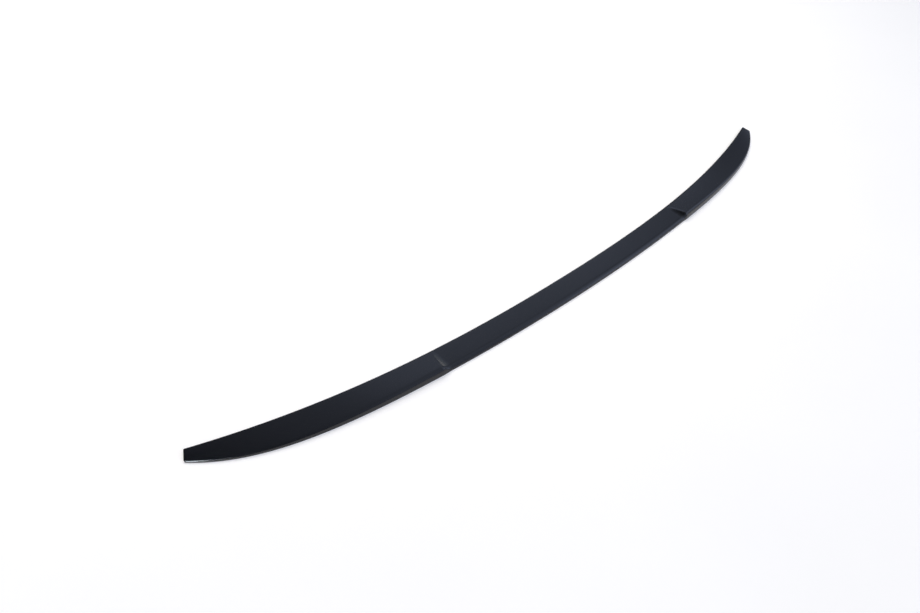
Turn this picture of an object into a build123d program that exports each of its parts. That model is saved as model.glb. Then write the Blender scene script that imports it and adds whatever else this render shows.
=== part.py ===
from build123d import *
import math
import os

# Lip spoiler for a car's boot lid, one solid moulding, in millimetres.
# X runs across the car, -Y points to its tail and +Z is up.
# The origin is the middle of the flat underside, on the plane that mirrors left to right.

# Plan, seen from above
overall_width = 1150.0      # between the rear corners of the two tips, before they are rounded
tip_slant = 6.0             # how much further in each tip's front corner lies
chord = 41.0                # front to rear, at the middle
tip_chord = 15.0            # front to rear, at the tips before their corners are rounded
front_bow = 38.5            # front edge's bow, as a parabola across the width
front_tip_bow = 35.0        # its further bow, which grows towards the tips
rear_bow = 51.0             # rear edge's bow, as a parabola across the width
front_tip_power = 3.0       # how late the front edge's further bow sets in
rear_sweep_power = 7.6      # how late the rear edge sweeps in to the tips
front_corner = 1.0          # plan radius of a tip's front corner
rear_corner = 2.0           # plan radius of a tip's rear corner

# Section, from the front edge to the rear edge
nose_height = 3.0           # top of the front edge
nose_tip = 6.0              # the same at the tips
nose_upright = 0.4          # share of the front edge's height that stands upright
nose_round = 2.2            # depth of the front edge's rounding
crest_middle = 6.0          # rear end of the straight top, in the middle
crest_wing = 11.0           # the same on a wing, where it starts
crest_tip = 2.5             # the same at the tips
roll_middle = 7.0           # depth of the rounding from there to the rear edge, in the middle
roll_wing = 8.0             # the same on a wing, where it starts
roll_tip = 1.2              # the same at the tips
crest_fall_power = 1.2      # how late a wing's top falls towards its tip
nose_rise_power = 2.0       # how late a wing's front edge rises towards its tip
roll_fall_power = 1.0       # how late a wing's rounding gets tighter towards its tip

# Ramps between the low middle and the raised wings
ramp_place = 249.0          # from the mirror plane to a ramp's middle
ramp_front_width = 5.0      # a ramp's width at the front edge
ramp_rear_width = 12.0      # a ramp's width at the rear edge
wing_overhang = 0.6         # how far a wing's rear edge stands out at its ramp

# Blunt ends of the tips
end_height = 1.5            # upright part of a tip's end
end_round = 2.0             # length of the rounding from the top down to that end

# How finely the form is followed
middle_section_count = 9
ramp_section_count = 7
wing_section_count = 16
tip_section_count = 8
spare_depth = 2.0           # depth below the underside that is trimmed off

ROUND = 4 / 3 * math.tan(math.pi / 8)   # handle of a curve that follows a quarter ellipse

rear_end = overall_width / 2
front_end = rear_end - tip_slant
front_tip_y = chord / 2 + front_bow + front_tip_bow
rear_sweep = front_tip_y - tip_chord + chord / 2 - rear_bow
tip_length = max(front_corner, rear_corner, end_round)
foot_front = ramp_place - ramp_front_width / 2
foot_rear = ramp_place - ramp_rear_width / 2
head_front = ramp_place + ramp_front_width / 2
head_rear = ramp_place + ramp_rear_width / 2


def front_y(x):
    """The front edge's place in plan."""
    share = abs(x) / front_end
    return chord / 2 + front_bow * share**2 + front_tip_bow * share**front_tip_power


def rear_y(x):
    """The rear edge's place in plan, before the wing's overhang."""
    share = abs(x) / rear_end
    return -chord / 2 + rear_bow * share**2 + rear_sweep * share**rear_sweep_power


def drawn_in(from_end, radius):
    """How far a rounding has drawn in, at a distance from the tip's end."""
    into = max(0.0, radius - from_end)
    return radius - math.sqrt(radius**2 - into**2)


def blend(start, end, share):
    """A value part of the way from start to end."""
    return start + (end - start) * share


def blade_section(front_x, rear_x, lift=0.0, from_end=None):
    """One upright section of the blade, between a point of each edge.

    lift is 0 in the middle and 1 on a wing, and from_end is the distance left to the tip's end.
    """
    along = max(0.0, (abs(rear_x) - head_rear) / (rear_end - head_rear))
    crest = blend(crest_middle, blend(crest_wing, crest_tip, along**crest_fall_power), lift)
    roll = blend(roll_middle, blend(roll_wing, roll_tip, along**roll_fall_power), lift)
    front = Vector(front_x, front_y(front_x), 0)
    rear = Vector(rear_x, rear_y(rear_x) - wing_overhang * lift * (1 - along), 0)
    across = (rear - front).normalized()
    low = 1.0
    if from_end is not None:
        front += across * drawn_in(from_end, front_corner)
        rear -= across * drawn_in(from_end, rear_corner)
        low = blend(1.0, end_height / crest_tip, drawn_in(from_end, end_round) / end_round)
    depth = (rear - front).length
    crest *= low
    roll *= low
    nose = nose_round * low
    top = blend(nose_height, nose_tip, along**nose_rise_power) * low
    upright = top * nose_upright
    flat = depth - roll - nose
    slope = (crest - top) / flat
    face_plane = Plane(origin=front, x_dir=across, z_dir=across.cross(Vector(0, 0, 1)))
    outline = [
        Line((0, -spare_depth), (0, upright)),
        Bezier(
            (0, upright),
            (0, blend(upright, top, ROUND)),
            (nose * (1 - ROUND), top - slope * nose * ROUND),
            (nose, top),
        ),
        Line((nose, top), (nose + flat, crest)),
        Bezier(
            (nose + flat, crest),
            (nose + flat + roll * ROUND, crest + slope * roll * ROUND),
            (depth, crest * ROUND),
            (depth, 0),
        ),
        Line((depth, 0), (depth, -spare_depth)),
        Line((depth, -spare_depth), (0, -spare_depth)),
    ]
    return face_plane * make_face(outline)


def shares(count):
    """Even steps from 0 to 1."""
    return [step / (count - 1) for step in range(count)]


def middle():
    """The low stretch between the two ramps."""
    spots = [2 * share - 1 for share in shares(middle_section_count)]
    return loft([blade_section(spot * foot_front, spot * foot_rear) for spot in spots])


def ramp(side):
    """The short slope that leaves the middle softly and ends in an edge on the wing."""
    faces = []
    for share in shares(ramp_section_count):
        front_x = side * blend(foot_front, head_front, share)
        rear_x = side * blend(foot_rear, head_rear, share)
        faces.append(blade_section(front_x, rear_x, lift=1 - math.cos(share * math.pi / 2)))
    return loft(faces)


def wing(side):
    """A raised wing, from its ramp to where the tip starts to close."""
    faces = []
    for share in shares(wing_section_count):
        front_x = side * blend(head_front, front_end - tip_length, share)
        rear_x = side * blend(head_rear, rear_end - tip_length, share)
        faces.append(blade_section(front_x, rear_x, lift=1.0))
    return loft(faces)


def tip(side):
    """The closing end of a wing, with its corners and its top rounded."""
    faces = []
    for share in shares(tip_section_count):
        to_end = tip_length * (1 - math.sin(share * math.pi / 2))
        front_x = side * (front_end - to_end)
        rear_x = side * (rear_end - to_end)
        faces.append(blade_section(front_x, rear_x, lift=1.0, from_end=to_end))
    return loft(faces)


blade = middle()
for side in (1, -1):
    blade += ramp(side) + wing(side) + tip(side)
blade = split(blade, bisect_by=Plane.XY, keep=Keep.TOP)
blade.label = "spoiler_blade"

os.makedirs("parts", exist_ok=True)
export_step(blade, "parts/spoiler_blade.step")
print("spoiler_blade", blade.bounding_box(), "volume", round(blade.volume), "solids", len(blade.solids()))
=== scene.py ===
# %% [markdown]
# # A lip spoiler for a boot lid
#
# This lip is one slim moulding that is bonded along the rear edge of a car's boot lid. Its middle is
# low, a short ramp on each side lifts it to a raised wing, and the wings taper to thin blunt tips. The
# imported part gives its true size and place. This lesson grows a smooth skin over it with Geometry Nodes,
# paints the skin satin black, and sets it on a white floor in soft light.

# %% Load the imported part
import math
from types import SimpleNamespace

import bpy
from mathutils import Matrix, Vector
from mathutils.bvhtree import BVHTree


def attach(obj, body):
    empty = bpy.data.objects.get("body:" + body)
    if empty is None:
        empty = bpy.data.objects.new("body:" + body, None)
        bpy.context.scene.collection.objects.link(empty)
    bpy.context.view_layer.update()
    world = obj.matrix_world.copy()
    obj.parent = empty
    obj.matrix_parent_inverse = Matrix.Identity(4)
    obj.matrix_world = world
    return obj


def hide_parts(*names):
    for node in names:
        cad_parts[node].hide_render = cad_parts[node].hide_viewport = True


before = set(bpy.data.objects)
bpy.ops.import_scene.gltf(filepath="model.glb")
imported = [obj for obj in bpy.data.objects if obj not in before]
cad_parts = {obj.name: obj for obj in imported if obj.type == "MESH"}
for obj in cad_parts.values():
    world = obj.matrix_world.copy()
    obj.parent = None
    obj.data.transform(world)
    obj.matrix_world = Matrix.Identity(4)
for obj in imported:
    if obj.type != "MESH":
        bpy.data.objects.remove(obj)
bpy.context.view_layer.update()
print("solids in the frame:", ", ".join(sorted(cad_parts)))

# %% [markdown]
# ## Node maths as Python expressions
#
# The skin and the paint both follow formulas. Drawn in the node editor, a formula is a web of Math nodes
# that is hard to read. This class wraps a node's output instead, so that Python's own operators add the
# Math nodes, and one method adds every other kind of node.


# %% Wrap a node's output
class Output:
    """A node's output, on which Python's operators add Math nodes."""

    def __init__(self, tree, socket):
        self.tree = tree
        self.socket = socket

    @classmethod
    def node(cls, tree, kind, settings, sockets, output=0):
        """Adds any node: its settings come first, then a value or a link for each of its sockets."""
        made = tree.nodes.new(kind)
        for name, setting in settings.items():
            setattr(made, name, setting)
        for name, value in sockets.items():
            if isinstance(value, cls):
                tree.links.new(value.socket, made.inputs[name])
            else:
                made.inputs[name].default_value = value
        return cls(tree, made.outputs[output]) if made.outputs else None

    def maths(self, operation, *others, clamp=False):
        """A Math node on this value and the others, held between 0 and 1 where clamp is set."""
        settings = {"operation": operation, "use_clamp": clamp}
        return self.node(self.tree, "ShaderNodeMath", settings, dict(enumerate((self, *others))))

    def after(self, operation, other):
        """A Math node on a plain number and then this value."""
        return self.node(self.tree, "ShaderNodeMath", {"operation": operation}, {0: other, 1: self})

    def __add__(self, other):
        return self.maths("ADD", other)

    def __sub__(self, other):
        return self.maths("SUBTRACT", other)

    def __mul__(self, other):
        return self.maths("MULTIPLY", other)

    def __truediv__(self, other):
        return self.maths("DIVIDE", other)

    def __pow__(self, other):
        return self.maths("POWER", other)

    def __radd__(self, other):
        return self.after("ADD", other)

    def __rsub__(self, other):
        return self.after("SUBTRACT", other)

    def __rmul__(self, other):
        return self.after("MULTIPLY", other)


print("operators that add Math nodes: + - * / **")

# %% [markdown]
# ## Satin black paint
#
# The moulding is sprayed: a near-black coat with a trace of blue, under a satin surface that blurs what
# it mirrors. A flat black would look like a hole in the picture. Three layers of noise on Object
# coordinates give it the life of real paint: a faint drift of colour, a fine unevenness of gloss, and
# the orange peel that a spray gun leaves, as bump about a millimetre across.

# %% Mix the paint
paint_dark = (0.0044, 0.0049, 0.0064, 1.0)
paint_light = (0.0058, 0.0064, 0.0084, 1.0)
paint_roughness = 0.22
roughness_swing = 0.06
drift_scale = 9.0
drift_detail = 3.0
gloss_scale = 160.0
gloss_detail = 4.0
peel_scale = 900.0
peel_detail = 2.0
peel_depth = 0.00004
peel_strength = 0.25


def mixed_colour(tree, share, first, second):
    """A colour part of the way from the first to the second."""
    # A Mix node takes its two colours at sockets 6 and 7, and gives the mixed one at output 2
    return Output.node(tree, "ShaderNodeMix", {"data_type": "RGBA"}, {0: share, 6: first, 7: second}, 2)


def satin_black_paint():
    """The sprayed finish of the whole moulding."""
    material = bpy.data.materials.new("satin_black_paint")
    material.use_nodes = True
    tree = material.node_tree
    shader = tree.nodes["Principled BSDF"]
    place = Output.node(tree, "ShaderNodeTexCoord", {}, {}, "Object")

    def noise(scale, detail):
        sockets = {"Vector": place, "Scale": scale, "Detail": detail}
        return Output.node(tree, "ShaderNodeTexNoise", {}, sockets)

    drift = noise(drift_scale, drift_detail)
    gloss = noise(gloss_scale, gloss_detail)
    peel = noise(peel_scale, peel_detail)
    colour = mixed_colour(tree, drift, paint_dark, paint_light)
    roughness = paint_roughness + roughness_swing * (gloss - 0.5)
    bump = {"Height": peel, "Distance": peel_depth, "Strength": peel_strength}
    normal = Output.node(tree, "ShaderNodeBump", {}, bump)
    tree.links.new(colour.socket, shader.inputs["Base Color"])
    tree.links.new(roughness.socket, shader.inputs["Roughness"])
    tree.links.new(normal.socket, shader.inputs["Normal"])
    return material


paint = satin_black_paint()
print("paint:", paint.name, "with", len(paint.node_tree.nodes), "nodes")

# %% [markdown]
# ## The blade's sizes
#
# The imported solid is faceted, and soft light would show its facets. The skin is made smooth by the same
# rule as the solid, so it needs the same few sizes, here in metres. They become the named inputs of a
# Geometry Nodes tree, where a reader can drag them and watch the lip change. X runs across the car, -Y
# points to its tail and +Z is up.

# %% Sizes in metres, and where the skin has its rows and columns
blade_sizes = {
    "overall_width": 1.150,
    "tip_slant": 0.006,
    "chord": 0.041,
    "tip_chord": 0.015,
    "front_bow": 0.0385,
    "front_tip_bow": 0.035,
    "rear_bow": 0.051,
    "front_corner": 0.001,
    "rear_corner": 0.002,
    "nose_height": 0.003,
    "nose_tip": 0.006,
    "nose_round": 0.0022,
    "crest_middle": 0.006,
    "crest_wing": 0.011,
    "crest_tip": 0.0025,
    "roll_middle": 0.007,
    "roll_wing": 0.008,
    "roll_tip": 0.0012,
    "ramp_place": 0.249,
    "ramp_front_width": 0.005,
    "ramp_rear_width": 0.012,
    "wing_overhang": 0.0006,
    "end_height": 0.0015,
    "end_round": 0.002,
}
front_tip_power = 3.0
rear_sweep_power = 7.6
crest_fall_power = 1.2
nose_rise_power = 2.0
nose_upright = 0.4

column_counts = {"middle": 40, "ramp": 16, "wing": 84, "tip": 16, "end": 2}
row_counts = {"upright": 2, "nose": 8, "top": 24, "roll": 18}
columns_each_side = sum(column_counts.values())
rows_each_face = sum(row_counts.values())
print("columns from the middle to a tip:", columns_each_side, "rows over the top:", rows_each_face)

# %% [markdown]
# ## The rule of the blade
#
# A flat grid is bent into the blade. Its columns run from tip to tip and its rows run around the
# section, so a point's column says which stretch it is in (middle, ramp, wing, tip or end face) and its
# row says whether it lies on the upright front, the rounded nose, the top or the rear rounding. The
# underside repeats the rows of the top, flat at zero height, so that the two meet at both edges and at
# the end faces with no gap.


# %% Shares of each stretch
def shares_of(steps, counts):
    """The share, from 0 to 1, that some steps have covered of each stretch in turn."""
    shares = {}
    start = 0
    for name, count in counts.items():
        shares[name] = ((steps - start) / count).maths("ADD", 0.0, clamp=True)
        start += count
    return SimpleNamespace(**shares)


def blended(start, end, share):
    """A value part of the way from start to end."""
    return start + (end - start) * share


# %% [markdown]
# ## The two bowed edges
#
# Seen from above, both edges are bowed. The front edge bows further towards the tips, and the rear edge
# sweeps in late to meet it there. On a wing the rear edge stands out a little, so that the ramp shows in
# the outline too. The corners of a tip are rounded by drawing both edges in over the last stretch.


# %% The two edges in plan
def edges_in_plan(size, along):
    """Both edges at a column, and how far the tip's corners and end have drawn in."""
    rear_end = size.overall_width / 2
    front_end = rear_end - size.tip_slant
    tip_length = size.front_corner.maths("MAXIMUM", size.rear_corner).maths("MAXIMUM", size.end_round)
    closing = (along.tip * (math.pi / 2)).maths("SINE")
    to_end = tip_length * (1 - closing)

    def edge_x(ramp_width, end):
        foot = size.ramp_place - ramp_width / 2
        wing = end - tip_length - foot - ramp_width
        return foot * along.middle + ramp_width * along.ramp + wing * along.wing + tip_length * closing

    def drawn_in(radius):
        into = (radius - to_end).maths("MAXIMUM", 0.0)
        return radius - (radius**2 - into**2).maths("MAXIMUM", 0.0).maths("SQRT")

    front_x = edge_x(size.ramp_front_width, front_end)
    rear_x = edge_x(size.ramp_rear_width, rear_end)
    head = size.ramp_place + size.ramp_rear_width / 2
    outward = ((rear_x - head) / (rear_end - head)).maths("MAXIMUM", 0.0)
    lift = 1 - (along.ramp * (math.pi / 2)).maths("COSINE")
    front_share = front_x / front_end
    rear_share = rear_x / rear_end
    sweep = size.chord + size.front_bow + size.front_tip_bow - size.tip_chord - size.rear_bow
    front_swell = size.front_tip_bow * front_share**front_tip_power
    front_y = size.chord / 2 + size.front_bow * front_share**2 + front_swell
    bowed_y = size.rear_bow * rear_share**2 + sweep * rear_share**rear_sweep_power - size.chord / 2
    rear_y = bowed_y - size.wing_overhang * lift * (1 - outward)
    return SimpleNamespace(
        front_x=front_x, front_y=front_y, rear_x=rear_x, rear_y=rear_y, outward=outward, lift=lift,
        front_in=drawn_in(size.front_corner), rear_in=drawn_in(size.rear_corner),
        low=blended(1.0, size.end_height / size.crest_tip, drawn_in(size.end_round) / size.end_round),
    )


# %% [markdown]
# ## The section
#
# From front to rear the section is a low upright edge, a small rounded nose, a straight top that rises
# to the crest, and a rounding down to the rear edge. The nose and the rounding are Bezier curves, and
# the shares of the rows add the parts up: a part that isn't reached yet adds nothing, and one that is
# passed adds all of itself.


# %% The section's depth and height
round_handle = 4 / 3 * math.tan(math.pi / 8)


def bezier(share, start, first_handle, second_handle, end):
    """A point part of the way along a Bezier curve."""
    left = 1 - share
    handles = first_handle * (3 * left**2 * share) + second_handle * (3 * left * share**2)
    return start * left**3 + handles + end * share**3


def section_point(size, edges, around, full_depth):
    """How far behind the front edge a point of the section lies, and how high."""
    wing_crest = blended(size.crest_wing, size.crest_tip, edges.outward**crest_fall_power)
    wing_roll = blended(size.roll_wing, size.roll_tip, edges.outward)
    crest = blended(size.crest_middle, wing_crest, edges.lift) * edges.low
    roll = blended(size.roll_middle, wing_roll, edges.lift) * edges.low
    nose = size.nose_round * edges.low
    top = blended(size.nose_height, size.nose_tip, edges.outward**nose_rise_power) * edges.low
    upright = top * nose_upright
    flat = full_depth - edges.front_in - edges.rear_in - roll - nose
    slope = (crest - top) / flat

    nose_back = nose * bezier(around.nose, 0.0, 0.0, 1 - round_handle, 1.0)
    low_handle = blended(upright, top, round_handle)
    nose_height = bezier(around.nose, upright, low_handle, top - slope * nose * round_handle, top)
    roll_back = roll * bezier(around.roll, 0.0, round_handle, 1.0, 1.0)
    high_handle = crest + slope * roll * round_handle
    roll_height = bezier(around.roll, crest, high_handle, crest * round_handle, 0.0)
    back = edges.front_in + nose_back + flat * around.top + roll_back
    height = upright * (around.upright - 1) + nose_height + (crest - top) * around.top + roll_height - crest
    return back, height


# %% [markdown]
# ## The tree
#
# The tree makes the grid, moves every point by the rule above, welds the seams where top and underside
# meet, shades the faces smooth and keeps only the edges around the underside sharp. Realize Instances
# and Set Material close it.

# %% Bend a grid into the blade
weld_distance = 0.000001
sharp_angle = math.radians(40)


def blade_tree(sizes, material):
    """A Geometry Nodes tree that makes the blade from its named sizes."""
    tree = bpy.data.node_groups.new("blade_form", "GeometryNodeTree")
    for name in sizes:
        tree.interface.new_socket(name, in_out="INPUT", socket_type="NodeSocketFloat")
    tree.interface.new_socket("blade", in_out="OUTPUT", socket_type="NodeSocketGeometry")
    inputs = Output.node(tree, "NodeGroupInput", {}, {}).socket.node
    size = SimpleNamespace(**{name: Output(tree, inputs.outputs[name]) for name in sizes})

    grid_size = {
        "Size X": 2.0 * columns_each_side, "Vertices X": 2 * columns_each_side + 1,
        "Size Y": 2.0 * rows_each_face, "Vertices Y": 2 * rows_each_face + 1,
    }
    grid = Output.node(tree, "GeometryNodeMeshGrid", {}, grid_size)
    spot = Output.node(tree, "GeometryNodeInputPosition", {}, {})
    column = Output.node(tree, "ShaderNodeSeparateXYZ", {}, {0: spot}, "X")
    row = Output.node(tree, "ShaderNodeSeparateXYZ", {}, {0: spot}, "Y")
    along = shares_of(column.maths("ABSOLUTE"), column_counts)
    around = shares_of(row.maths("ABSOLUTE"), row_counts)
    on_top = row.maths("LESS_THAN", 0.0)

    edges = edges_in_plan(size, along)
    across_x = edges.rear_x - edges.front_x
    across_y = edges.rear_y - edges.front_y
    full_depth = (across_x**2 + across_y**2).maths("SQRT")
    back, height = section_point(size, edges, around, full_depth)
    share = back / full_depth
    place = {
        "X": (edges.front_x + across_x * share) * column.maths("SIGN"),
        "Y": edges.front_y + across_y * share,
        "Z": height * on_top * (1 - along.end),
    }
    bent = {"Geometry": grid, "Position": Output.node(tree, "ShaderNodeCombineXYZ", {}, place)}
    blade = Output.node(tree, "GeometryNodeSetPosition", {}, bent)
    seams = {"Geometry": blade, "Distance": weld_distance}
    blade = Output.node(tree, "GeometryNodeMergeByDistance", {}, seams)
    blade = Output.node(tree, "GeometryNodeSetShadeSmooth", {}, {0: blade, "Shade Smooth": True})
    angle = Output.node(tree, "GeometryNodeInputMeshEdgeAngle", {}, {})
    sharp = {0: blade, "Selection": angle.maths("GREATER_THAN", sharp_angle), "Shade Smooth": False}
    blade = Output.node(tree, "GeometryNodeSetShadeSmooth", {"domain": "EDGE"}, sharp)
    blade = Output.node(tree, "GeometryNodeRealizeInstances", {}, {"Geometry": blade})
    blade = Output.node(tree, "GeometryNodeSetMaterial", {}, {"Geometry": blade, "Material": material})
    Output.node(tree, "NodeGroupOutput", {}, {"blade": blade})
    return tree


# %% [markdown]
# ## From the tree to a mesh
#
# A modifier on an empty object runs the tree, and its inputs are filled from the sizes by their names.
# What it makes is then copied out as a plain mesh and the modifier is taken off, because a plain mesh
# travels to any other program.


# %% Make the skin a plain mesh
def grown(name, tree, sizes):
    """An object whose mesh is what the tree makes from these sizes, with no modifier left on it."""
    piece = bpy.data.objects.new(name, bpy.data.meshes.new(name))
    bpy.context.scene.collection.objects.link(piece)
    modifier = piece.modifiers.new(tree.name, "NODES")
    modifier.node_group = tree
    for item in tree.interface.items_tree:
        if item.in_out == "INPUT":
            modifier[item.identifier] = sizes[item.name]
    evaluated = piece.evaluated_get(bpy.context.evaluated_depsgraph_get())
    mesh = bpy.data.meshes.new_from_object(evaluated)
    piece.modifiers.clear()
    piece.data = mesh
    mesh.name = name
    return piece


blade_skin = grown("blade_skin", blade_tree(blade_sizes, paint), blade_sizes)
print("blade_skin:", len(blade_skin.data.vertices), "points,", len(blade_skin.data.polygons), "faces")

# %% [markdown]
# ## Does the skin fit the solid?
#
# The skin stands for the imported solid, so it has to lie on it. Each corner of the solid's facets should
# touch the skin, which a search tree over the skin's faces can tell in a moment.

# %% Measure the skin against the solid
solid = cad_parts["spoiler_blade"]
skin_faces = BVHTree.FromPolygons(
    [vertex.co for vertex in blade_skin.data.vertices],
    [face.vertices for face in blade_skin.data.polygons],
)
strays = [skin_faces.find_nearest(vertex.co)[3] for vertex in solid.data.vertices]
print(f"furthest corner of the solid from the skin: {max(strays) * 1000:.3f} mm")
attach(blade_skin, "root")
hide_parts("spoiler_blade")

# %% [markdown]
# ## White floor
#
# The lip lies on a white studio floor. The floor is plain matte white with the faint mottle of painted
# board. A little glow of its own, for the camera and for reflections alone, lifts it to white without
# pouring more light on the lip, and the soft shadow behind the rear edge stays.

# %% Lay the floor
floor_half = 6.0
floor_dark = (0.88, 0.88, 0.885, 1.0)
floor_light = (0.93, 0.93, 0.935, 1.0)
floor_scale = 3.0
floor_lift = 0.14


def white_floor():
    """A matte white floor under the lip."""
    material = bpy.data.materials.new("floor_white")
    material.use_nodes = True
    tree = material.node_tree
    tree.nodes.remove(tree.nodes["Principled BSDF"])
    place = Output.node(tree, "ShaderNodeTexCoord", {}, {}, "Object")
    mottle = Output.node(tree, "ShaderNodeTexNoise", {}, {"Vector": place, "Scale": floor_scale})
    colour = mixed_colour(tree, mottle, floor_dark, floor_light)
    matte = Output.node(tree, "ShaderNodeBsdfDiffuse", {}, {"Color": colour})
    camera_ray, glossy_ray, clear_ray = (
        Output.node(tree, "ShaderNodeLightPath", {}, {}, f"Is {kind} Ray")
        for kind in ("Camera", "Glossy", "Transmission")
    )
    seen = (camera_ray + glossy_ray + clear_ray).maths("MINIMUM", 1.0)
    glow = Output.node(tree, "ShaderNodeEmission", {}, {"Strength": seen * floor_lift})
    both = Output.node(tree, "ShaderNodeAddShader", {}, {0: matte, 1: glow})
    tree.links.new(both.socket, tree.nodes["Material Output"].inputs["Surface"])
    mesh = bpy.data.meshes.new("floor")
    corners = [(x * floor_half, y * floor_half, 0.0) for x, y in ((-1, -1), (1, -1), (1, 1), (-1, 1))]
    mesh.from_pydata(corners, [], [(0, 1, 2, 3)])
    mesh.materials.append(material)
    floor = bpy.data.objects.new("floor", mesh)
    bpy.context.scene.collection.objects.link(floor)
    return floor


white_floor()
print("floor:", 2 * floor_half, "m square")

# %% [markdown]
# ## The room that the paint mirrors
#
# Black paint shows what it mirrors more than its own colour, so the room around the lip matters as much
# as the lamps. The world is a dim room with soft patches of light, as windows and pale walls make them,
# and most of them are on the right. Each patch is a bell-shaped glow around one direction, so the paint
# shows no edge of it. Behind on the left the room stays dark, and that is what the near tip and the far
# ramp mirror.

# %% Light the room
room_level = 0.02
room_tint = (0.89, 1.01, 1.34, 1.0)
# Degrees from +X towards +Y, degrees above the floor, spread in degrees, brightness
light_patches = {
    "right_low": (20.0, 7.0, 9.0, 0.58),
    "tail_low": (280.0, 15.0, 9.0, 0.72),
    "tail_right_soft": (345.0, 16.0, 10.0, 0.60),
    "tail_right_bright": (309.0, 18.0, 7.0, 2.45),
    "front_low": (77.0, 22.0, 11.5, 0.66),
    "front_right_faint": (57.0, 26.0, 6.0, 0.23),
    "front_right": (43.5, 33.0, 7.5, 0.69),
    "tail_wide": (266.0, 35.0, 14.0, 0.41),
    "tail_right_wide": (331.5, 36.0, 18.0, 0.91),
    "front_right_high": (62.5, 41.0, 6.2, 0.66),
    "front_high_faint": (89.0, 49.0, 6.0, 0.16),
    "tail_high": (288.0, 52.0, 6.0, 0.42),
    "overhead": (3.0, 71.0, 17.4, 0.64),
}


def towards(azimuth, elevation):
    """A unit vector from two angles in radians."""
    flat = math.cos(elevation)
    return Vector((math.cos(azimuth) * flat, math.sin(azimuth) * flat, math.sin(elevation)))


def studio_room():
    """A dim world with soft patches of light."""
    world = bpy.data.worlds.new("studio_room")
    world.use_nodes = True
    tree = world.node_tree
    heading = Output.node(tree, "ShaderNodeTexCoord", {}, {}, "Generated")
    glow = room_level
    for azimuth, elevation, spread, brightness in light_patches.values():
        pair = {0: heading, 1: towards(math.radians(azimuth), math.radians(elevation))}
        nearness = Output.node(tree, "ShaderNodeVectorMath", {"operation": "DOT_PRODUCT"}, pair, "Value")
        glow = glow + brightness * ((nearness - 1) / math.radians(spread)**2).maths("EXPONENT")
    background = tree.nodes["Background"]
    background.inputs["Color"].default_value = room_tint
    tree.links.new(glow.socket, background.inputs["Strength"])
    return world


bpy.context.scene.world = studio_room()
print("patches of light in the room:", ", ".join(light_patches))

# %% [markdown]
# ## Soft studio light
#
# Two large fills, one behind and one above, bring the floor and the lip to a plain level and cast the
# soft shadow. They are kept out of reflections, as a photographer flags a lamp to stop its glare. Two
# cards do the opposite: they light nothing and are only mirrored. The one on the right shows in the near
# ramp. The one on the left has a narrow beam, so that only the near tip sees it, and draws a fine line
# along that tip's rear edge.


# %% Hang the lamps
def softbox(name, place, aim, width, height, brightness, tint):
    """A rectangular lamp that faces a point and stays out of the picture.

    With its full spread, brightness 1 makes its face look white.
    """
    lamp = bpy.data.lights.new(name, "AREA")
    lamp.shape = "RECTANGLE"
    lamp.size = width
    lamp.size_y = height
    lamp.energy = brightness * math.pi * width * height
    lamp.color = tint
    holder = bpy.data.objects.new(name, lamp)
    holder.location = place
    holder.rotation_euler = (Vector(aim) - Vector(place)).to_track_quat("-Z", "Y").to_euler()
    holder.visible_camera = False
    bpy.context.scene.collection.objects.link(holder)
    return holder


fill_tint = (1.08, 1.01, 0.865)
card_tint = (0.90, 1.00, 1.10)
card_left_spread = math.radians(30)
fill_back = softbox(
    "fill_back", place=(0.30, 1.60, 2.00), aim=(0.20, 0.20, 0.00),
    width=3.00, height=2.00, brightness=2.7, tint=fill_tint,
)
fill_over = softbox(
    "fill_over", place=(-0.40, -0.90, 2.20), aim=(0.00, 0.00, 0.00),
    width=2.40, height=1.60, brightness=1.2, tint=fill_tint,
)
card_right = softbox(
    "card_right", place=(0.35, 0.50, 0.18), aim=(-0.25, 0.02, 0.01),
    width=0.30, height=0.34, brightness=0.62, tint=card_tint,
)
card_left = softbox(
    "card_left", place=(-1.30, -0.22, 0.38), aim=(-0.57, 0.08, 0.00),
    width=0.12, height=0.25, brightness=4.0, tint=card_tint,
)
card_left.data.spread = card_left_spread
for fill in (fill_back, fill_over):
    fill.visible_glossy = False
for card in (card_right, card_left):
    card.visible_diffuse = False
print("lamps:", ", ".join(lamp.name for lamp in (fill_back, fill_over, card_right, card_left)))

# %% [markdown]
# ## The camera
#
# The photograph looks down on the lip from its rear left, close by and through a wide lens, which is why
# the far wing looks so much smaller than the near one. The camera's place and lens were worked out from
# the two edges of the lip, each of which is the same on the left of the car as on the right.

# %% Place the camera
image_width = 920
focal_pixels = 528.5
sensor_width = 36.0
camera_azimuth = math.radians(-127.371)
camera_elevation = math.radians(50.640)
camera_distance = 0.77957
camera_target = Vector((-0.16884, 0.07058, 0.0))
nearest_seen = 0.01

lens = bpy.data.cameras.new("camera")
lens.sensor_width = sensor_width
lens.lens = focal_pixels / image_width * sensor_width
lens.clip_start = nearest_seen
camera = bpy.data.objects.new("camera", lens)
towards_camera = towards(camera_azimuth, camera_elevation)
camera.location = camera_target + camera_distance * towards_camera
camera.rotation_euler = towards_camera.to_track_quat("Z", "Y").to_euler()
bpy.context.scene.collection.objects.link(camera)
bpy.context.scene.camera = camera
bpy.context.scene.view_settings.view_transform = "Standard"
print("camera at", tuple(round(value, 3) for value in camera.location), f"lens {lens.lens:.1f} mm")
